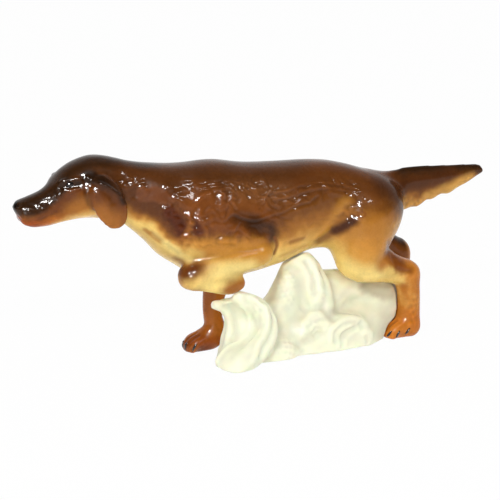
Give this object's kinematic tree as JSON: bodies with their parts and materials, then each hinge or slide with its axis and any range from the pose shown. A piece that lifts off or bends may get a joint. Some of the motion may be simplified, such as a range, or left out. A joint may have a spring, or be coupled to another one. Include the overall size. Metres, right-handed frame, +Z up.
{
  "type": "dog figurine",
  "caption": "Glazed porcelain setter on point, one foreleg raised, standing over a white scrolled rock; cast in sections and fired as one.",
  "frame": {"origin": "on the shelf, under the middle of the figurine's bounding box", "axes": "+Z up from the shelf; the dog faces -X and its left side, with the raised foreleg, faces -Y"},
  "size_m": [0.2886, 0.0684, 0.122],
  "materials": {
    "brown_glaze": "airbrushed underglaze, dark along the back and golden below, under a clear gloss glaze",
    "cream_glaze": "cream underglaze with brown shading under a clear gloss glaze",
    "amber_glaze": "amber underglaze with black claw strokes under a clear gloss glaze",
    "white_glaze": "cream-white clear gloss glaze"
  },
  "bodies": {
    "root": {"torso": "brown_glaze", "head": "brown_glaze", "left_ear": "brown_glaze", "right_ear": "brown_glaze", "tail": "brown_glaze", "raised_left_foreleg": "cream_glaze", "standing_right_foreleg": "amber_glaze", "left_hind_leg": "amber_glaze", "right_hind_leg": "amber_glaze", "rock_base": "white_glaze", "paw_scroll": "white_glaze", "shell_leaves": "white_glaze", "belly_crest": "white_glaze"}
  },
  "joints": []
}
